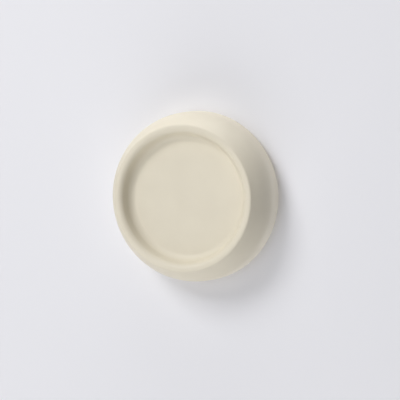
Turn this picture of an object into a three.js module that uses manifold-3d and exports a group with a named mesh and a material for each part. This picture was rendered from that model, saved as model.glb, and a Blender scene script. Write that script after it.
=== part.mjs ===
// Round magnetic soap holder for a wall: a moulded puck with a shallow dish in its front.
// A magnet behind the dish floor holds the steel cap of a soap bar.
// Millimetres, +Z up. The holder's axis lies along Y: the wall is at y = 0 and the dish faces -Y.
import * as THREE from "three";
import { mergeVertices } from "three/addons/utils/BufferGeometryUtils.js";
import Module from "manifold-3d";

// Outer form of the housing
const holderDiameter = 50; // across the side wall at its rear edge
const holderDepth = 14; // from the wall to the crest of the rim
const crestInset = 4.15; // from the side wall's rear edge in to the middle of the crest
const crestLand = 0.3; // flat on the crest, between its two roundings
const crestRounding = 1.1; // towards the flank
const lipRounding = 1.8; // towards the dish
const dishDepth = 3.9; // from the crest to the dish floor
const dishWallAngle = 22; // degrees from the axis
const dishFillet = 2.4;
const flankAngle = 33; // degrees from the axis
const shoulderFillet = 14; // a long soft curve from the flank into the side wall
const sideDraft = 1; // degrees, wider at the rear
const rearEdgeRounding = 0.5;

// Walls of the housing
const skinThickness = 2;
const dishFloorThickness = 1.4;
const hollowRounding = 0.5; // inside the rim
const boreLeadIn = 0.4; // chamfer at the mouth of the rear bore

// Magnet and the steel disc behind it
const magnetDiameter = 24;
const magnetThickness = 4;
const magnetChamfer = 0.3;
const keeperThickness = 1.2;

// Collar round the magnet and the ribs that stiffen the dish
const collarWall = 1.3;
const collarSetBack = 0.3; // from the keeper's rear face to the end of the collar
const collarLeadIn = 0.4;
const ribCount = 6;
const ribThickness = 1.1;
const ribRoot = 0.6; // how deep the ribs run into the skin

// Back plate, its skirt and its snap bead
const plateThickness = 1.9;
const skirtWall = 1.4; // behind the seal groove
const snapLandLength = 2.2; // from the seal groove to the end of the skirt
const snapBeadHeight = 0.35;
const snapBeadLength = 0.8;
const snapBeadCount = 6;
const snapBeadArc = 30; // degrees
const skirtLeadIn = 0.4;

// Seal ring
const sealSection = 1.3; // diameter of the rubber's round section
const sealGrooveWidth = 1.7;

// Adhesive pad
const padDiameter = 40;
const padThickness = 1;
const padProud = 0.6; // how far the pad stands behind the housing's rear edge
const padMargin = 0.4; // between the pad and the rim of its pocket

// Clearances
const slideClearance = 0.15; // radial, between round pieces
const seatClearance = 0.1; // between faces that rest on each other
const snapClearance = 0.15; // round the bead in its groove
const ribClearance = 0.4; // between the skirt's end and the ribs

// Facets
const turnFacets = 60;
const arcStep = 12; // degrees
const filletShare = 0.96; // most of a side that its roundings may take
const sealHalfFacets = 6; // half way round the seal's section

const creamPlastic = { color: 0xdcd5c4, roughness: 0.5, metalness: 0 };
const nickelPlate = { color: 0xc9c6bf, roughness: 0.25, metalness: 1 };
const zincSteel = { color: 0xaeb2b5, roughness: 0.4, metalness: 1 };
const sealRubber = { color: 0x2b2c2d, roughness: 0.8, metalness: 0 };
const foamAdhesive = { color: 0xe9e9e6, roughness: 0.9, metalness: 0 };

const wasm = await Module();
wasm.setup();

const radians = THREE.MathUtils.degToRad;

// A corner of a profile: its distance from the axis, its distance from the wall and its rounding.
function corner(radius, forward, rounding = 0) {
  return { point: new THREE.Vector2(radius, forward), rounding };
}

// Where two straight lines meet, each given by a point and the direction it faces.
function meet(lineA, lineB) {
  const determinant = lineA.normal.x * lineB.normal.y - lineA.normal.y * lineB.normal.x;
  const a = lineA.normal.dot(lineA.point);
  const b = lineB.normal.dot(lineB.point);
  const radius = (a * lineB.normal.y - b * lineA.normal.y) / determinant;
  const forward = (b * lineA.normal.x - a * lineB.normal.x) / determinant;
  return new THREE.Vector2(radius, forward);
}

// The arc that rounds a corner: the ways along both its sides, and half the angle between them.
function cornerArc(corners, i) {
  const { point } = corners[i];
  const before = corners[i - 1].point.clone().sub(point).normalize();
  const after = corners[i + 1].point.clone().sub(point).normalize();
  const half = Math.acos(THREE.MathUtils.clamp(before.dot(after), -1, 1)) / 2;
  return { before, after, half };
}

// The points of a profile with corners rounded by tangent arcs. Arcs that crowd a side shrink to fit.
function roundedProfile(corners) {
  const arcs = corners.map(({ rounding }, i) => (rounding === 0 ? null : cornerArc(corners, i)));
  const taken = arcs.map((arc, i) => (arc ? corners[i].rounding / Math.tan(arc.half) : 0));
  const shrinks = corners.slice(1).map(({ point }, i) => {
    const side = point.distanceTo(corners[i].point);
    return Math.min(1, (filletShare * side) / (taken[i] + taken[i + 1]));
  });
  const points = [];
  corners.forEach(({ point, rounding }, i) => {
    if (rounding === 0) {
      points.push(point);
      return;
    }
    const { before, after, half } = arcs[i];
    const radius = rounding * Math.min(shrinks[i - 1], shrinks[i]);
    const centre = before.clone().add(after).setLength(radius / Math.sin(half)).add(point);
    const start = before.multiplyScalar(radius / Math.tan(half)).add(point).sub(centre);
    const end = after.multiplyScalar(radius / Math.tan(half)).add(point).sub(centre);
    const sweep = Math.atan2(start.cross(end), start.dot(end));
    const steps = Math.max(2, Math.ceil(Math.abs(sweep) / radians(arcStep)));
    for (let step = 0; step <= steps; step++) {
      const turn = (sweep * step) / steps;
      points.push(start.clone().rotateAround(new THREE.Vector2(), turn).add(centre));
    }
  });
  return points;
}

// A profile turned about the holder's axis: from the front outwards, back along the outside and home.
function turned(corners) {
  const points = roundedProfile(corners).map(({ x, y }) => new THREE.Vector2(x, -y));
  return new THREE.LatheGeometry(points, turnFacets);
}

// A ring that doesn't touch the axis closes on its own first corner.
function turnedRing(corners) {
  return turned([...corners, corners[0]]);
}

// A closed geometry as a solid that can be joined and cut.
function solidOf(geometry) {
  const bare = geometry.clone();
  bare.deleteAttribute("normal");
  bare.deleteAttribute("uv");
  const merged = mergeVertices(bare);
  const triVerts = [];
  for (let i = 0; i < merged.index.count; i += 3) {
    const [a, b, c] = merged.index.array.slice(i, i + 3);
    if (a !== b && b !== c && c !== a) triVerts.push(a, b, c);
  }
  const vertProperties = new Float32Array(merged.attributes.position.array);
  const mesh = new wasm.Mesh({ numProp: 3, vertProperties, triVerts: new Uint32Array(triVerts) });
  return new wasm.Manifold(mesh);
}

function geometryOf(solid) {
  const mesh = solid.getMesh();
  const geometry = new THREE.BufferGeometry();
  geometry.setAttribute("position", new THREE.BufferAttribute(mesh.vertProperties, 3));
  geometry.setIndex(new THREE.BufferAttribute(mesh.triVerts, 1));
  geometry.computeVertexNormals();
  return geometry;
}

// Places along the axis, measured forward from the wall
const rearEdge = padProud;
const dishFloor = holderDepth - dishDepth;
const dishFloorInside = dishFloor - dishFloorThickness;
const magnetFront = dishFloorInside - seatClearance;
const magnetRear = magnetFront - magnetThickness;
const keeperFront = magnetRear - seatClearance;
const keeperRear = keeperFront - keeperThickness;
const collarEnd = keeperRear + collarSetBack;
const pocketFloor = padThickness + seatClearance;
const plateInside = rearEdge + plateThickness;
const sealGrooveEnd = plateInside + sealGrooveWidth;
const skirtEnd = sealGrooveEnd + snapLandLength;
const snapMiddle = (sealGrooveEnd + skirtEnd) / 2;
const ribEnd = skirtEnd + ribClearance;

// Distances from the axis
const outerRadius = holderDiameter / 2;
const boreRadius = outerRadius - skinThickness;
const plateRadius = boreRadius - slideClearance;
const snapBeadRadius = plateRadius + snapBeadHeight;
const snapGrooveRadius = snapBeadRadius + snapClearance;
const sealMiddleRadius = boreRadius - seatClearance - sealSection / 2;
const sealGrooveRadius = sealMiddleRadius - sealSection / 2 - seatClearance;
const skirtInsideRadius = sealGrooveRadius - skirtWall;
const magnetRadius = magnetDiameter / 2;
const collarInsideRadius = magnetRadius + slideClearance;
const collarOutsideRadius = collarInsideRadius + collarWall;

// A line square to the axis, facing forward.
function level(forward) {
  return { point: new THREE.Vector2(0, forward), normal: new THREE.Vector2(0, 1) };
}

// A straight side of the rim, set back from the skin. On the skin it is tangent to its rounding at the crest.
function rimSide(crestEdge, rounding, normal, setBack) {
  const centre = new THREE.Vector2(crestEdge, holderDepth - rounding);
  return { point: normal.clone().multiplyScalar(rounding - setBack).add(centre), normal };
}

// Corners of the rim between the dish wall and the flank. Below the skin the two sides meet in one corner.
function rimCorners(dishWall, flank, setBack) {
  if (setBack > 0) return [{ point: meet(dishWall, flank), rounding: hollowRounding }];
  const crest = level(holderDepth);
  return [
    { point: meet(dishWall, crest), rounding: lipRounding },
    { point: meet(crest, flank), rounding: crestRounding },
  ];
}

// Corners of the front from the axis to the side wall, at a depth below the skin.
function frontCorners(setBack, floorSetBack, sideLine, sideRounding) {
  const crestMiddle = outerRadius - crestInset;
  const dishWallTurn = radians(dishWallAngle);
  const flankTurn = radians(flankAngle);
  const dishWallNormal = new THREE.Vector2(-Math.cos(dishWallTurn), Math.sin(dishWallTurn));
  const flankNormal = new THREE.Vector2(Math.cos(flankTurn), Math.sin(flankTurn));
  const dishWall = rimSide(crestMiddle - crestLand / 2, lipRounding, dishWallNormal, setBack);
  const flank = rimSide(crestMiddle + crestLand / 2, crestRounding, flankNormal, setBack);
  const floor = level(dishFloor - floorSetBack);
  return [
    { point: floor.point, rounding: 0 },
    { point: meet(floor, dishWall), rounding: dishFillet },
    ...rimCorners(dishWall, flank, setBack),
    { point: meet(flank, sideLine), rounding: sideRounding },
  ];
}

// The hollow of the housing behind the dish and inside the rim, as far as the bore.
function hollowCorners(growth) {
  const bore = {
    point: new THREE.Vector2(boreRadius + growth, 0),
    normal: new THREE.Vector2(1, 0),
  };
  return frontCorners(skinThickness - growth, dishFloorThickness - growth, bore, hollowRounding);
}

function makeHousing() {
  const side = {
    point: new THREE.Vector2(outerRadius, rearEdge),
    normal: new THREE.Vector2(Math.cos(radians(sideDraft)), Math.sin(radians(sideDraft))),
  };
  const grooveHalf = snapBeadLength / 2 + snapClearance;
  const grooveRamp = snapGrooveRadius - boreRadius;
  const shell = solidOf(
    turned([
      ...frontCorners(0, 0, side, shoulderFillet),
      corner(outerRadius, rearEdge, rearEdgeRounding),
      corner(boreRadius + boreLeadIn, rearEdge),
      corner(boreRadius, rearEdge + boreLeadIn),
      corner(boreRadius, snapMiddle - grooveHalf),
      corner(snapGrooveRadius, snapMiddle - grooveHalf),
      corner(snapGrooveRadius, snapMiddle + grooveHalf),
      corner(boreRadius, snapMiddle + grooveHalf + grooveRamp),
      ...hollowCorners(0).reverse(),
    ]),
  );
  const collarRoot = dishFloorInside + dishFloorThickness / 2;
  const collar = solidOf(
    turnedRing([
      corner(collarInsideRadius, collarRoot),
      corner(collarOutsideRadius, collarRoot),
      corner(collarOutsideRadius, collarEnd),
      corner(collarInsideRadius + collarLeadIn, collarEnd),
      corner(collarInsideRadius, collarEnd + collarLeadIn),
    ]),
  );
  const ribRoom = solidOf(
    turned([...hollowCorners(ribRoot), corner(boreRadius + ribRoot, 0), corner(0, 0)]),
  );
  const ribStart = collarInsideRadius + collarWall / 2;
  const ribLength = outerRadius - ribStart;
  const ribHeight = holderDepth - ribEnd;
  let housing = shell.add(collar);
  for (let i = 0; i < ribCount; i++) {
    const rib = new THREE.BoxGeometry(ribLength, ribHeight, ribThickness);
    rib.translate(ribStart + ribLength / 2, -ribEnd - ribHeight / 2, 0);
    rib.rotateY((2 * Math.PI * i) / ribCount);
    housing = housing.add(solidOf(rib).intersect(ribRoom));
  }
  return geometryOf(housing);
}

function makeMagnet() {
  return turned([
    corner(0, magnetFront),
    corner(magnetRadius - magnetChamfer, magnetFront),
    corner(magnetRadius, magnetFront - magnetChamfer),
    corner(magnetRadius, magnetRear + magnetChamfer),
    corner(magnetRadius - magnetChamfer, magnetRear),
    corner(0, magnetRear),
  ]);
}

function makeKeeperPlate() {
  return turned([
    corner(0, keeperFront),
    corner(magnetRadius, keeperFront),
    corner(magnetRadius, keeperRear),
    corner(0, keeperRear),
  ]);
}

function makeSealRing() {
  const section = new THREE.Path();
  section.absarc(sealMiddleRadius, -(plateInside + sealGrooveEnd) / 2, sealSection / 2, 0, 2 * Math.PI);
  return new THREE.LatheGeometry(section.getPoints(sealHalfFacets), turnFacets);
}

function makeBackPlate() {
  const pocketRadius = padDiameter / 2 + padMargin;
  const bossRadius = collarOutsideRadius + slideClearance;
  const bossFront = keeperRear - seatClearance;
  let plate = solidOf(
    turned([
      corner(0, bossFront),
      corner(bossRadius, bossFront),
      corner(bossRadius, plateInside),
      corner(skirtInsideRadius, plateInside),
      corner(skirtInsideRadius, skirtEnd),
      corner(plateRadius - skirtLeadIn, skirtEnd),
      corner(plateRadius, skirtEnd - skirtLeadIn),
      corner(plateRadius, sealGrooveEnd),
      corner(sealGrooveRadius, sealGrooveEnd),
      corner(sealGrooveRadius, plateInside),
      corner(plateRadius, plateInside),
      corner(plateRadius, rearEdge),
      corner(pocketRadius, rearEdge),
      corner(pocketRadius, pocketFloor),
      corner(0, pocketFloor),
    ]),
  );
  const beadRoot = plateRadius - skirtLeadIn;
  const bead = solidOf(
    turnedRing([
      corner(beadRoot, snapMiddle + snapBeadLength / 2 + skirtLeadIn),
      corner(plateRadius, snapMiddle + snapBeadLength / 2),
      corner(snapBeadRadius, snapMiddle),
      corner(snapBeadRadius, snapMiddle - snapBeadLength / 2),
      corner(beadRoot, snapMiddle - snapBeadLength / 2),
    ]),
  );
  for (let i = 0; i < snapBeadCount; i++) {
    const start = (2 * Math.PI * i) / snapBeadCount;
    const wedge = new THREE.Shape();
    wedge.absarc(0, 0, outerRadius, start, start + radians(snapBeadArc));
    wedge.lineTo(0, 0);
    const sector = new THREE.ExtrudeGeometry(wedge, { depth: holderDepth, bevelEnabled: false });
    sector.rotateX(Math.PI / 2);
    plate = plate.add(bead.intersect(solidOf(sector)));
  }
  return geometryOf(plate);
}

function makeAdhesivePad() {
  return turned([
    corner(0, padThickness),
    corner(padDiameter / 2, padThickness),
    corner(padDiameter / 2, 0),
    corner(0, 0),
  ]);
}

const soapHolder = new THREE.Group();

function addPiece(name, geometry, finish) {
  const mesh = new THREE.Mesh(geometry, new THREE.MeshStandardMaterial(finish));
  mesh.name = name;
  soapHolder.add(mesh);
}

addPiece("housing", makeHousing(), creamPlastic);
addPiece("magnet", makeMagnet(), nickelPlate);
addPiece("keeper_plate", makeKeeperPlate(), zincSteel);
addPiece("seal_ring", makeSealRing(), sealRubber);
addPiece("back_plate", makeBackPlate(), creamPlastic);
addPiece("adhesive_pad", makeAdhesivePad(), foamAdhesive);

export default soapHolder;
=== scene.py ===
import bpy
import bmesh
import math
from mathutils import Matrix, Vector


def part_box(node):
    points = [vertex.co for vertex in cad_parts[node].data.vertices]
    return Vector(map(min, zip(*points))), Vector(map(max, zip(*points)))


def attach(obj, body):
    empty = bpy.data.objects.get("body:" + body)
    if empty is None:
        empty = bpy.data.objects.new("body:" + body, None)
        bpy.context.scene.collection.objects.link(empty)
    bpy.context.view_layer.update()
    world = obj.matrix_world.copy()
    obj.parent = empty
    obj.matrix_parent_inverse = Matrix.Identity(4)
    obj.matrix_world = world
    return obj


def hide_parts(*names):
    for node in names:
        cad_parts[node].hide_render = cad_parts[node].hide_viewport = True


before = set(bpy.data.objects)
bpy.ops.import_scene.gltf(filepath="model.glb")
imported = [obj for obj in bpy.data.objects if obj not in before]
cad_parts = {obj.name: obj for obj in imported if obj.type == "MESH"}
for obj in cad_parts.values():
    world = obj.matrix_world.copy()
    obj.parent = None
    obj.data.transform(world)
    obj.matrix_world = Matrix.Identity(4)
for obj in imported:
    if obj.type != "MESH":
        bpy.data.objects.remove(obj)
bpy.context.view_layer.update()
mm = 0.001
print("frame loaded:", ", ".join(sorted(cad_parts)))

# where the frame holds each piece; forward is measured from the wall towards the dish
housingLow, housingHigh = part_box("housing")
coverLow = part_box("back_plate")[0]
padLow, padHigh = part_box("adhesive_pad")
magnetLow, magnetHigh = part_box("magnet")
keeperLow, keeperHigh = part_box("keeper_plate")
sealLow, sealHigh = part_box("seal_ring")
crest = -housingLow.y
rearEdge = -housingHigh.y
skirtEnd = -coverLow.y
padRadius = padHigh.z
padFront = -padLow.y
magnetRadius = magnetHigh.z
magnetFront = -magnetLow.y
magnetRear = -magnetHigh.y
keeperFront = -keeperLow.y
keeperRear = -keeperHigh.y
sealRadius = (sealHigh.y - sealLow.y) / 2    # of the rubber's round section
sealForward = -(sealHigh.y + sealLow.y) / 2
sealRing = sealHigh.z - sealRadius           # from the axis to the middle of the section


# turned shapes: a profile is a list of (distance from the axis, distance from the wall)

turning = {
    "leastSteps": 3,             # in a rounding, however small
    "onAxis": 0.0001 * mm,       # closer to the axis than this, a ring is a single point
    "sharpAngle": 40,            # degrees; edges sharper than this stay crisp
}


def meetLines(lineA, lineB):  # each line is a point and the way it faces
    (pointA, faceA), (pointB, faceB) = lineA, lineB
    a = faceA.dot(pointA)
    b = faceB.dot(pointB)
    scale = faceA.x * faceB.y - faceA.y * faceB.x
    return Vector(((a * faceB.y - b * faceA.y) / scale, (b * faceA.x - a * faceB.x) / scale))


def roundCorners(corners, arcStep):  # each corner is (radius, forward) or (radius, forward, rounding)
    points = []
    for i, corner in enumerate(corners):
        at = Vector(corner[:2])
        rounding = corner[2] if len(corner) > 2 else 0.0
        if rounding <= 0.0:
            points.append(at)
            continue
        back = (Vector(corners[i - 1][:2]) - at).normalized()
        ahead = (Vector(corners[(i + 1) % len(corners)][:2]) - at).normalized()
        half = back.angle(ahead) / 2
        centre = at + (back + ahead).normalized() * rounding / math.sin(half)
        start = at + back * rounding / math.tan(half) - centre
        end = at + ahead * rounding / math.tan(half) - centre
        sweep = math.atan2(start.x * end.y - start.y * end.x, start.dot(end))
        steps = max(turning["leastSteps"], math.ceil(abs(math.degrees(sweep)) / arcStep))
        for step in range(steps + 1):
            turn = sweep * step / steps
            spoke = Vector((start.x * math.cos(turn) - start.y * math.sin(turn),
                            start.x * math.sin(turn) + start.y * math.cos(turn)))
            points.append(centre + spoke)
    return points


def spaceOut(points, longest):  # splits long straight runs so the faces stay near square
    spaced = [points[0]]
    for before, after in zip(points, points[1:]):
        pieces = max(1, math.ceil((after - before).length / longest))
        spaced += [before.lerp(after, k / pieces) for k in range(1, pieces + 1)]
    return spaced


def pieceFrom(work, name):  # a mesh in the making becomes an object in the scene
    mesh = bpy.data.meshes.new(name)
    work.to_mesh(mesh)
    work.free()
    piece = bpy.data.objects.new(name, mesh)
    bpy.context.scene.collection.objects.link(piece)
    return piece


def turnMesh(name, points, segments, closed=False, startAt=0.0, swell=None):
    work = bmesh.new()
    rings = []
    for radius, forward in points:
        if radius < turning["onAxis"]:
            rings.append([work.verts.new((0, -forward, 0))])
            continue
        ring = []
        for k in range(segments):
            angle = 2 * math.pi * (k + startAt) / segments  # startAt is a share of one segment
            r = radius + (swell(radius, forward, angle) if swell else 0.0)
            ring.append(work.verts.new((r * math.sin(angle), -forward, r * math.cos(angle))))
        rings.append(ring)
    pairs = list(zip(rings, rings[1:]))
    if closed:
        pairs.append((rings[-1], rings[0]))
    for here, there in pairs:
        for k in range(segments):
            after = (k + 1) % segments
            corners = [here[k % len(here)], here[after % len(here)],
                       there[after % len(there)], there[k % len(there)]]
            work.faces.new(list(dict.fromkeys(corners)))  # on the axis two corners are the same point
    bmesh.ops.recalc_face_normals(work, faces=work.faces)
    return pieceFrom(work, name)


def finishPiece(piece, node, slot, *materials):
    mesh = piece.data
    mesh.polygons.foreach_set("use_smooth", [True] * len(mesh.polygons))
    mesh.set_sharp_from_angle(angle=math.radians(turning["sharpAngle"]))
    mesh.materials.clear()
    for material in materials:
        mesh.materials.append(material)
    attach(piece, "root")
    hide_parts(node)
    print(piece.name + ":", len(mesh.polygons), "faces")


# materials: deep and pale are the ends of the colour, and ramp is where the texture reaches them

def newMaterial(name):
    material = bpy.data.materials.new(name)
    material.use_nodes = True
    nodes = material.node_tree.nodes
    return material, nodes, material.node_tree.links, nodes["Principled BSDF"]


def objectNoise(nodes, links, size, detail, roughness=0.5):
    place = nodes.new("ShaderNodeTexCoord")
    noise = nodes.new("ShaderNodeTexNoise")
    noise.inputs["Scale"].default_value = 1 / size
    noise.inputs["Detail"].default_value = detail
    noise.inputs["Roughness"].default_value = roughness
    links.new(place.outputs["Object"], noise.inputs["Vector"])
    return noise.outputs["Fac"]


def colourFrom(nodes, links, source, shader, look):
    ramp = nodes.new("ShaderNodeValToRGB")
    ends = ramp.color_ramp.elements
    for end, position, colour in zip(ends, look["ramp"], (look["deep"], look["pale"])):
        end.position = position
        end.color = (*colour, 1)
    links.new(source, ramp.inputs["Fac"])
    links.new(ramp.outputs["Color"], shader.inputs["Base Color"])


def roughnessFrom(nodes, links, source, shader, look):
    span = nodes.new("ShaderNodeMapRange")
    span.inputs["To Min"].default_value = look["rough"][0]
    span.inputs["To Max"].default_value = look["rough"][1]
    links.new(source, span.inputs["Value"])
    links.new(span.outputs["Result"], shader.inputs["Roughness"])


def bumpFrom(nodes, links, source, shader, look):
    bump = nodes.new("ShaderNodeBump")
    bump.inputs["Strength"].default_value = look["bump"]
    bump.inputs["Distance"].default_value = look["bumpDepth"]
    links.new(source, bump.inputs["Height"])
    links.new(bump.outputs["Normal"], shader.inputs["Normal"])


creamPlastic = {
    "deep": (0.715, 0.660, 0.537),
    "pale": (0.745, 0.690, 0.564),
    "ramp": (0.3, 0.7),
    "cloudSize": 9 * mm,         # faint clouds in the resin
    "cloudDetail": 4,
    "grainSize": 0.16 * mm,      # spark-eroded mould texture
    "grainDetail": 2,
    "grainRoughness": 0.6,
    "rough": (0.45, 0.55),
    "bump": 0.5,
    "bumpDepth": 0.006 * mm,
    "ior": 1.5,
}


def makeCreamPlastic(look):
    material, nodes, links, shader = newMaterial("creamPlastic")
    clouds = objectNoise(nodes, links, look["cloudSize"], look["cloudDetail"])
    colourFrom(nodes, links, clouds, shader, look)
    grain = objectNoise(nodes, links, look["grainSize"], look["grainDetail"], look["grainRoughness"])
    roughnessFrom(nodes, links, grain, shader, look)
    bumpFrom(nodes, links, grain, shader, look)
    shader.inputs["IOR"].default_value = look["ior"]
    return material


foamEdge = {
    # deep is painted shade in the pits of the open cells, pale is the foam's own white
    "deep": (0.70, 0.70, 0.68),
    "pale": (0.84, 0.84, 0.82),
    "ramp": (0.1, 0.6),
    "cellSize": 0.35 * mm,       # open cells at the cut edge
    "rough": 0.85,
    "bump": 0.6,
    "bumpDepth": 0.05 * mm,
}


def makeFoamEdge(look):
    material, nodes, links, shader = newMaterial("foamEdge")
    place = nodes.new("ShaderNodeTexCoord")
    cells = nodes.new("ShaderNodeTexVoronoi")
    cells.inputs["Scale"].default_value = 1 / look["cellSize"]
    links.new(place.outputs["Object"], cells.inputs["Vector"])
    # painted shade: the colour darkens towards each cell's pit, where the bump sinks
    colourFrom(nodes, links, cells.outputs["Distance"], shader, look)
    bumpFrom(nodes, links, cells.outputs["Distance"], shader, look)
    shader.inputs["Roughness"].default_value = look["rough"]
    return material


adhesiveFilm = {
    "deep": (0.79, 0.79, 0.765),
    "pale": (0.83, 0.83, 0.81),
    "ramp": (0.3, 0.7),
    "rippleSize": 2.2 * mm,
    "rippleDetail": 5,
    "rough": (0.3, 0.45),
    "bump": 0.4,
    "bumpDepth": 0.02 * mm,
}


def makeAdhesiveFilm(look):
    material, nodes, links, shader = newMaterial("adhesiveFilm")
    ripple = objectNoise(nodes, links, look["rippleSize"], look["rippleDetail"])
    colourFrom(nodes, links, ripple, shader, look)
    roughnessFrom(nodes, links, ripple, shader, look)
    bumpFrom(nodes, links, ripple, shader, look)
    return material


nickelPlate = {
    "deep": (0.56, 0.52, 0.45),
    "pale": (0.68, 0.64, 0.57),
    "ramp": (0.3, 0.7),
    "bloomSize": 2 * mm,         # faint bloom in the plating
    "bloomDetail": 6,
    "rough": (0.12, 0.3),
}

zincSteel = {
    "deep": (0.40, 0.42, 0.43),
    "pale": (0.58, 0.60, 0.61),
    "ramp": (0.3, 0.7),
    "bloomSize": 1.2 * mm,
    "bloomDetail": 6,
    "rough": (0.3, 0.5),
}


def makeMetal(name, look):
    material, nodes, links, shader = newMaterial(name)
    bloom = objectNoise(nodes, links, look["bloomSize"], look["bloomDetail"])
    colourFrom(nodes, links, bloom, shader, look)
    roughnessFrom(nodes, links, bloom, shader, look)
    shader.inputs["Metallic"].default_value = 1.0
    return material


sealRubber = {
    "deep": (0.018, 0.018, 0.019),
    "pale": (0.035, 0.035, 0.036),
    "ramp": (0.3, 0.7),
    "grainSize": 0.3 * mm,
    "grainDetail": 3,
    "rough": 0.62,
    "bump": 0.4,
    "bumpDepth": 0.01 * mm,
}


def makeSealRubber(look):
    material, nodes, links, shader = newMaterial("sealRubber")
    grain = objectNoise(nodes, links, look["grainSize"], look["grainDetail"])
    colourFrom(nodes, links, grain, shader, look)
    bumpFrom(nodes, links, grain, shader, look)
    shader.inputs["Roughness"].default_value = look["rough"]
    return material


plastic = makeCreamPlastic(creamPlastic)
foam = makeFoamEdge(foamEdge)
film = makeAdhesiveFilm(adhesiveFilm)
nickel = makeMetal("nickelPlate", nickelPlate)
zinc = makeMetal("zincSteel", zincSteel)
rubber = makeSealRubber(sealRubber)
print("materials ready")


# housing: side wall, flank, rounded rim and dish in one moulding, with a collar and ribs inside

housing = {
    "segments": 192,
    "startAt": 0.5,              # of a segment, so that no mesh line runs along a rib's side
    "faceLength": 1.0 * mm,
    "arcStep": 4,                # degrees between the points of a rounding
    "radius": 25.0 * mm,         # side wall at its rear edge
    "crestInset": 4.15 * mm,     # from the side wall in to the middle of the rim's crest
    "crestLand": 0.3 * mm,       # flat on the crest
    "crestRounding": 0.8 * mm,   # towards the flank
    "lipRounding": 1.8 * mm,     # towards the dish
    "dishDepth": 3.9 * mm,
    "dishWallAngle": 22,         # degrees from the axis
    "dishFillet": 2.4 * mm,
    "flankAngle": 33,            # degrees from the axis
    "shoulderFillet": 14.0 * mm,
    "sideDraft": 1,              # degrees
    "rearRounding": 0.5 * mm,
    "skin": 2.0 * mm,
    "floorThickness": 1.4 * mm,
    "hollowFillet": 2.4 * mm,    # behind the dish fillet
    "hollowRounding": 0.5 * mm,  # inside the rim
    "leadIn": 0.4 * mm,
    "snapGap": 0.15 * mm,        # round each bead in its groove
    "collarGap": 0.15 * mm,      # round the magnet
    "collarWall": 1.3 * mm,
    "collarSetBack": 0.3 * mm,   # from the keeper's rear face to the collar's end
    "ribs": 6,
    "ribThickness": 1.1 * mm,
    "ribRoot": 0.6 * mm,         # how deep the ribs run into the skin
    "ribGap": 0.4 * mm,          # from the cover's skirt to the ribs
    "ribArcStep": 10,            # degrees between points where a rib follows a rounding
}

boreRadius = housing["radius"] - housing["skin"]
collarInside = magnetRadius + housing["collarGap"]
collarOutside = collarInside + housing["collarWall"]


def rimLine(crestEdge, rounding, face, setBack):  # touches the crest's rounding, or lies below the skin
    return Vector((crestEdge, crest - rounding)) + face * (rounding - setBack), face


def frontCorners(setBack, floorSetBack, sideLine, dishRound, sideRound):
    middle = housing["radius"] - housing["crestInset"]
    half = housing["crestLand"] / 2
    dishTurn = math.radians(housing["dishWallAngle"])
    flankTurn = math.radians(housing["flankAngle"])
    dishFace = Vector((-math.cos(dishTurn), math.sin(dishTurn)))
    flankFace = Vector((math.cos(flankTurn), math.sin(flankTurn)))
    dishLine = rimLine(middle - half, housing["lipRounding"], dishFace, setBack)
    flankLine = rimLine(middle + half, housing["crestRounding"], flankFace, setBack)
    floorLine = (Vector((0, crest - housing["dishDepth"] - floorSetBack)), Vector((0, 1)))
    crestLine = (Vector((0, crest)), Vector((0, 1)))
    if setBack > 0:
        rim = [(*meetLines(dishLine, flankLine), housing["hollowRounding"])]
    else:
        rim = [(*meetLines(dishLine, crestLine), housing["lipRounding"]),
               (*meetLines(crestLine, flankLine), housing["crestRounding"])]
    return [
        (0, floorLine[0].y),
        (*meetLines(floorLine, dishLine), dishRound),
        *rim,
        (*meetLines(flankLine, sideLine), sideRound),
    ]


def hollowCorners(growth):  # behind the dish and inside the rim, grown into the skin for the ribs
    bore = (Vector((boreRadius + growth, 0)), Vector((1, 0)))
    return frontCorners(housing["skin"] - growth, housing["floorThickness"] - growth, bore,
                        housing["hollowFillet"], housing["hollowRounding"])


def ribOutline():
    start = collarInside + housing["collarWall"] / 2
    end = skirtEnd + housing["ribGap"]
    corners = [*hollowCorners(housing["ribRoot"]), (boreRadius + housing["ribRoot"], 0)]
    room = roundCorners(corners, housing["ribArcStep"])
    kept = [p for p in room if p.x > start and p.y > end]
    below = room[room.index(kept[-1]) + 1]
    foot = kept[-1].lerp(below, (kept[-1].y - end) / (kept[-1].y - below.y))
    return [Vector((start, room[0].y)), *kept, foot, Vector((start, end))]


def ribSolids():
    outline = ribOutline()
    work = bmesh.new()
    for k in range(housing["ribs"]):
        angle = 2 * math.pi * k / housing["ribs"]
        along = Vector((math.cos(angle), 0, math.sin(angle)))
        across = Vector((-math.sin(angle), 0, math.cos(angle))) * housing["ribThickness"] / 2
        middle = [along * p.x + Vector((0, -p.y, 0)) for p in outline]
        near = [work.verts.new(point - across) for point in middle]
        far = [work.verts.new(point + across) for point in middle]
        work.faces.new(near)
        work.faces.new(far)
        for i in range(len(outline)):
            j = (i + 1) % len(outline)
            work.faces.new((near[i], near[j], far[j], far[i]))
    bmesh.ops.recalc_face_normals(work, faces=work.faces)
    return pieceFrom(work, "ribTool")


def addRibs(shell):
    ribTool = ribSolids()
    join = shell.modifiers.new("ribs", "BOOLEAN")
    join.operation = "UNION"
    join.solver = "EXACT"
    join.object = ribTool
    bpy.context.view_layer.update()
    joined = bpy.data.meshes.new_from_object(shell.evaluated_get(bpy.context.evaluated_depsgraph_get()))
    shell.modifiers.clear()
    work = bmesh.new()
    work.from_mesh(joined)
    manySided = [face for face in work.faces if len(face.verts) > 4]  # ribs' sides and what they cut
    bmesh.ops.triangulate(work, faces=manySided, quad_method="BEAUTY", ngon_method="BEAUTY")
    work.to_mesh(joined)
    work.free()
    shell.data = joined
    bpy.data.objects.remove(ribTool)


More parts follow.
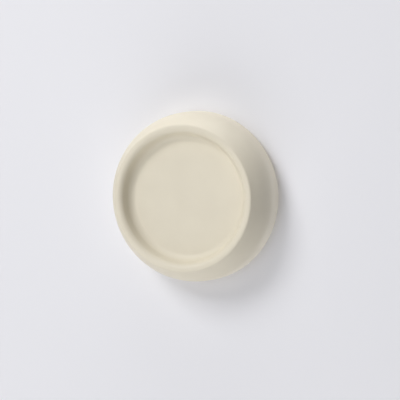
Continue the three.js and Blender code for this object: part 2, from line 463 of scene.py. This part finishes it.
def makeHousing():
    draft = math.radians(housing["sideDraft"])
    side = (Vector((housing["radius"], rearEdge)), Vector((math.cos(draft), math.sin(draft))))
    grooveHalf = backCover["beadLength"] / 2 + housing["snapGap"]
    grooveRadius = backCover["radius"] + backCover["beadHeight"] + housing["snapGap"]
    collarEnd = keeperRear + housing["collarSetBack"]
    inside = hollowCorners(0)
    floorInside = inside[0][1]
    profile = roundCorners([
        *frontCorners(0, 0, side, housing["dishFillet"], housing["shoulderFillet"]),
        (housing["radius"], rearEdge, housing["rearRounding"]),
        (boreRadius + housing["leadIn"], rearEdge),
        (boreRadius, rearEdge + housing["leadIn"]),
        (boreRadius, snapForward - grooveHalf),
        (grooveRadius, snapForward - grooveHalf),
        (grooveRadius, snapForward + grooveHalf),
        (boreRadius, snapForward + grooveHalf + grooveRadius - boreRadius),
        *reversed(inside[1:]),
        (collarOutside, floorInside),
        (collarOutside, collarEnd),
        (collarInside + housing["leadIn"], collarEnd),
        (collarInside, collarEnd + housing["leadIn"]),
        (collarInside, floorInside),
        inside[0],
    ], housing["arcStep"])
    points = spaceOut(profile, housing["faceLength"])
    shell = turnMesh("housingShell", points, housing["segments"], startAt=housing["startAt"])
    addRibs(shell)
    finishPiece(shell, "housing", "cream_plastic", plastic)


# back cover: plate, pocket for the pad, skirt with the seal groove and six snap beads

backCover = {
    "segments": 180,
    "faceLength": 1.2 * mm,
    "arcStep": 15,               # degrees
    "radius": 22.85 * mm,
    "plateThickness": 1.9 * mm,
    "pocketMargin": 0.4 * mm,    # round the pad
    "seat": 0.1 * mm,            # between faces that rest on each other
    "bossMargin": 0.15 * mm,     # how much wider than the collar the boss behind the keeper is
    "skirtWall": 1.4 * mm,
    "grooveWidth": 1.7 * mm,
    "leadIn": 0.4 * mm,
    "edgeRounding": 0.25 * mm,
    "beads": 6,
    "beadArc": 30,               # degrees
    "beadFade": 1.5,             # degrees at each end of a bead
    "beadHeight": 0.35 * mm,
    "beadLength": 0.8 * mm,
    "beadCatch": 0.25,           # share of half the bead's length that its steep rear side takes
    "beadRows": 8,
}

coverInside = rearEdge + backCover["plateThickness"]
grooveEnd = coverInside + backCover["grooveWidth"]
snapForward = (grooveEnd + skirtEnd) / 2


def beadSwell(radius, forward, angle):  # how far the skirt's outer face stands out at a snap bead
    across = (forward - snapForward) / (backCover["beadLength"] / 2)
    if radius < backCover["radius"] - backCover["seat"] or abs(across) >= 1:
        return 0.0
    pitch = 360 / backCover["beads"]
    half = backCover["beadArc"] / 2
    fromMiddle = abs((math.degrees(angle) - half + pitch / 2) % pitch - pitch / 2)
    fade = min(max((half - fromMiddle) / backCover["beadFade"], 0.0), 1.0)
    lift = min(1.0, 1 - across, (1 + across) / backCover["beadCatch"])  # sloped in front, steep behind
    return backCover["beadHeight"] * fade * lift


def makeBackCover():
    radius = backCover["radius"]
    bossRadius = collarOutside + backCover["bossMargin"]
    bossFront = keeperRear - backCover["seat"]
    grooveFloor = sealRing - sealRadius - backCover["seat"]
    skirtInside = grooveFloor - backCover["skirtWall"]
    pocketRadius = padRadius + backCover["pocketMargin"]
    pocketFloor = padFront + backCover["seat"]
    soft = backCover["edgeRounding"]
    beadHalf = backCover["beadLength"] / 2
    rows = backCover["beadRows"]
    beadPoints = [(radius, snapForward + beadHalf * (1 - 2 * k / rows)) for k in range(rows + 1)]
    profile = roundCorners([
        (0, bossFront),
        (bossRadius, bossFront, soft),
        (bossRadius, coverInside, soft),
        (skirtInside, coverInside, soft),
        (skirtInside, skirtEnd, soft),
        (radius - backCover["leadIn"], skirtEnd),
        (radius, skirtEnd - backCover["leadIn"]),
        *beadPoints,
        (radius, grooveEnd),
        (grooveFloor, grooveEnd),
        (grooveFloor, coverInside),
        (radius, coverInside),
        (radius, rearEdge, soft),
        (pocketRadius, rearEdge, soft),
        (pocketRadius, pocketFloor),
        (0, pocketFloor),
    ], backCover["arcStep"])
    points = spaceOut(profile, backCover["faceLength"])
    cover = turnMesh("backCover", points, backCover["segments"], swell=beadSwell)
    finishPiece(cover, "back_plate", "cream_plastic", plastic)


# the groove in the housing follows the beads on the cover, so both are made here
makeHousing()
makeBackCover()


# foam pad with an adhesive film on both faces

foamPad = {
    "segments": 160,
    "faceLength": 1.5 * mm,
    "arcStep": 15,               # degrees
    "edgeRounding": 0.12 * mm,
    "edgeTuck": 0.1 * mm,        # how far the foam's edge is drawn in between the films
    "filmFacing": 0.9,           # faces turned this much to the front or the rear carry the film
}


def makeFoamPad():
    soft = foamPad["edgeRounding"]
    profile = roundCorners([
        (0, padFront),
        (padRadius, padFront, soft),
        (padRadius - foamPad["edgeTuck"], padFront / 2, padFront / 2),
        (padRadius, 0, soft),
        (0, 0),
    ], foamPad["arcStep"])
    pad = turnMesh("foamPad", spaceOut(profile, foamPad["faceLength"]), foamPad["segments"])
    finishPiece(pad, "adhesive_pad", "foam_adhesive", foam, film)
    for face in pad.data.polygons:
        face.material_index = int(abs(face.normal.y) > foamPad["filmFacing"])


makeFoamPad()


# magnet, keeper disc and seal ring

innerPieces = {
    "segments": 144,
    "faceLength": 1.2 * mm,
    "arcStep": 15,               # degrees
    "magnetEdge": 0.3 * mm,      # rounded under the plating
    "keeperRoll": 0.25 * mm,     # rolled edge on the punched side
    "keeperBreak": 0.06 * mm,    # the other side is nearly sharp
    "sealSegments": 200,
    "sealSteps": 32,
}


def makeDisc(name, front, rear, frontRound, rearRound):
    corners = [(0, front), (magnetRadius, front, frontRound), (magnetRadius, rear, rearRound), (0, rear)]
    profile = roundCorners(corners, innerPieces["arcStep"])
    return turnMesh(name, spaceOut(profile, innerPieces["faceLength"]), innerPieces["segments"])


def makeInnerPieces():
    edge = innerPieces["magnetEdge"]
    magnet = makeDisc("discMagnet", magnetFront, magnetRear, edge, edge)
    finishPiece(magnet, "magnet", "nickel_plate", nickel)
    keeper = makeDisc("keeperDisc", keeperFront, keeperRear,
                      innerPieces["keeperBreak"], innerPieces["keeperRoll"])
    finishPiece(keeper, "keeper_plate", "zinc_steel", zinc)
    section = []
    for k in range(innerPieces["sealSteps"]):
        turn = 2 * math.pi * k / innerPieces["sealSteps"]
        section.append((sealRing + sealRadius * math.cos(turn), sealForward + sealRadius * math.sin(turn)))
    seal = turnMesh("sealRing", section, innerPieces["sealSegments"], closed=True)
    finishPiece(seal, "seal_ring", "seal_rubber", rubber)


makeInnerPieces()


# stage: a pale wall that the holder hangs on, clear from behind so rear views see the holder

stage = {
    "colour": (0.84, 0.84, 0.88),
    "rough": 0.9,
    "specular": 0.1,
    "gap": 0.1 * mm,             # behind the pad
    "reach": 0.4,                # metres to each side
}


def makeStage(look):
    reach = look["reach"]
    corners = [(x * reach, look["gap"], z * reach) for x, z in ((-1, -1), (1, -1), (1, 1), (-1, 1))]
    mesh = bpy.data.meshes.new("wall")
    mesh.from_pydata(corners, [], [(0, 1, 2, 3)])
    wall = bpy.data.objects.new("wall", mesh)
    bpy.context.scene.collection.objects.link(wall)
    material, nodes, links, shader = newMaterial("wall")
    shader.inputs["Base Color"].default_value = (*look["colour"], 1)
    shader.inputs["Roughness"].default_value = look["rough"]
    shader.inputs["Specular IOR Level"].default_value = look["specular"]
    facing = nodes.new("ShaderNodeNewGeometry")
    clear = nodes.new("ShaderNodeBsdfTransparent")
    pick = nodes.new("ShaderNodeMixShader")
    links.new(facing.outputs["Backfacing"], pick.inputs["Fac"])
    links.new(shader.outputs["BSDF"], pick.inputs[1])
    links.new(clear.outputs["BSDF"], pick.inputs[2])
    links.new(pick.outputs["Shader"], nodes["Material Output"].inputs["Surface"])
    wall.data.materials.append(material)
    wall.visible_shadow = False  # the lamp behind reaches the back of the holder
    print("stage ready")


makeStage(stage)


# lights: azimuth 0 is straight in front of the dish, and more is towards +X

def wayTo(look):  # from the holder, by azimuth and elevation in degrees
    azimuth = math.radians(look["azimuth"])
    elevation = math.radians(look["elevation"])
    level = math.cos(elevation)
    return Vector((math.sin(azimuth) * level, -math.cos(azimuth) * level, math.sin(elevation)))


lights = {
    "keyLight": {"azimuth": -28.5, "elevation": 36.5, "size": 0.4, "power": 4.95},  # upper left
    "frontLight": {"azimuth": -13, "elevation": -1, "size": 0.6, "power": 2.6},
    "topLight": {"azimuth": 100, "elevation": 88, "size": 0.7, "power": 4.1},
    "lowLight": {"azimuth": -12, "elevation": -68, "size": 1.0, "power": 5.55},     # lifts the underside
    "backLight": {"azimuth": 180, "elevation": -4, "size": 0.6, "power": 4.7},      # through the clear wall
}
lightDistance = 1.0          # metres


def addLight(name, look):
    lamp = bpy.data.lights.new(name, "AREA")
    lamp.shape = "SQUARE"
    lamp.size = look["size"]
    lamp.energy = look["power"]
    light = bpy.data.objects.new(name, lamp)
    light.location = wayTo(look) * lightDistance
    light.rotation_euler = (-light.location).to_track_quat("-Z", "Y").to_euler()
    bpy.context.scene.collection.objects.link(light)


for name, look in lights.items():
    addLight(name, look)

roomLight = {
    "colour": (1.0, 1.0, 1.0),
    "strength": 0.164,
    "background": (0.80, 0.80, 0.82),
}


def makeWorld(look):
    world = bpy.data.worlds.new("studio")
    world.use_nodes = True
    nodes = world.node_tree.nodes
    links = world.node_tree.links
    light = nodes["Background"]
    light.inputs["Color"].default_value = (*look["colour"], 1)
    light.inputs["Strength"].default_value = look["strength"]
    seen = nodes.new("ShaderNodeBackground")
    seen.inputs["Color"].default_value = (*look["background"], 1)
    path = nodes.new("ShaderNodeLightPath")
    sees = path.outputs["Is Camera Ray"]
    for ray in ("Is Glossy Ray", "Is Transmission Ray"):  # these see the pale background too
        either = nodes.new("ShaderNodeMath")
        either.operation = "MAXIMUM"
        links.new(sees, either.inputs[0])
        links.new(path.outputs[ray], either.inputs[1])
        sees = either.outputs["Value"]
    pick = nodes.new("ShaderNodeMixShader")
    links.new(sees, pick.inputs["Fac"])
    links.new(light.outputs["Background"], pick.inputs[1])
    links.new(seen.outputs["Background"], pick.inputs[2])
    links.new(pick.outputs["Shader"], nodes["World Output"].inputs["Surface"])
    bpy.context.scene.world = world


makeWorld(roomLight)
print("lights ready")


# camera at the photograph's viewing angle

camera = {
    "azimuth": 22.5,             # degrees, towards +X
    "elevation": 3.74,
    "distance": 0.99,            # metres
    "pixelsPerMm": 3.416,
    "frameWidth": 400,           # pixels
    "pixel": (192.6, 196.8),     # where the axis meets the plane below
    "plane": 5.93 * mm,          # forward of the wall
    "sensorWidth": 36.0,         # millimetres, as the lens is
}


def makeCamera(look):
    away = wayTo(look)
    turn = math.radians(look["azimuth"])
    right = Vector((math.cos(turn), math.sin(turn), 0))
    up = away.cross(right)
    half = look["frameWidth"] / 2
    pixelSize = mm / look["pixelsPerMm"]
    aim = Vector((0, -look["plane"], 0))
    aim += right * (half - look["pixel"][0]) * pixelSize
    aim -= up * (half - look["pixel"][1]) * pixelSize
    lens = bpy.data.cameras.new("camera")
    lens.sensor_width = look["sensorWidth"]
    lens.lens = look["sensorWidth"] * look["distance"] / (look["frameWidth"] * pixelSize)
    viewer = bpy.data.objects.new("camera", lens)
    viewer.location = aim + away * look["distance"]
    viewer.rotation_euler = (-away).to_track_quat("-Z", "Y").to_euler()
    bpy.context.scene.collection.objects.link(viewer)
    bpy.context.scene.camera = viewer


makeCamera(camera)
bpy.context.scene.view_settings.view_transform = "Standard"
print("camera ready")
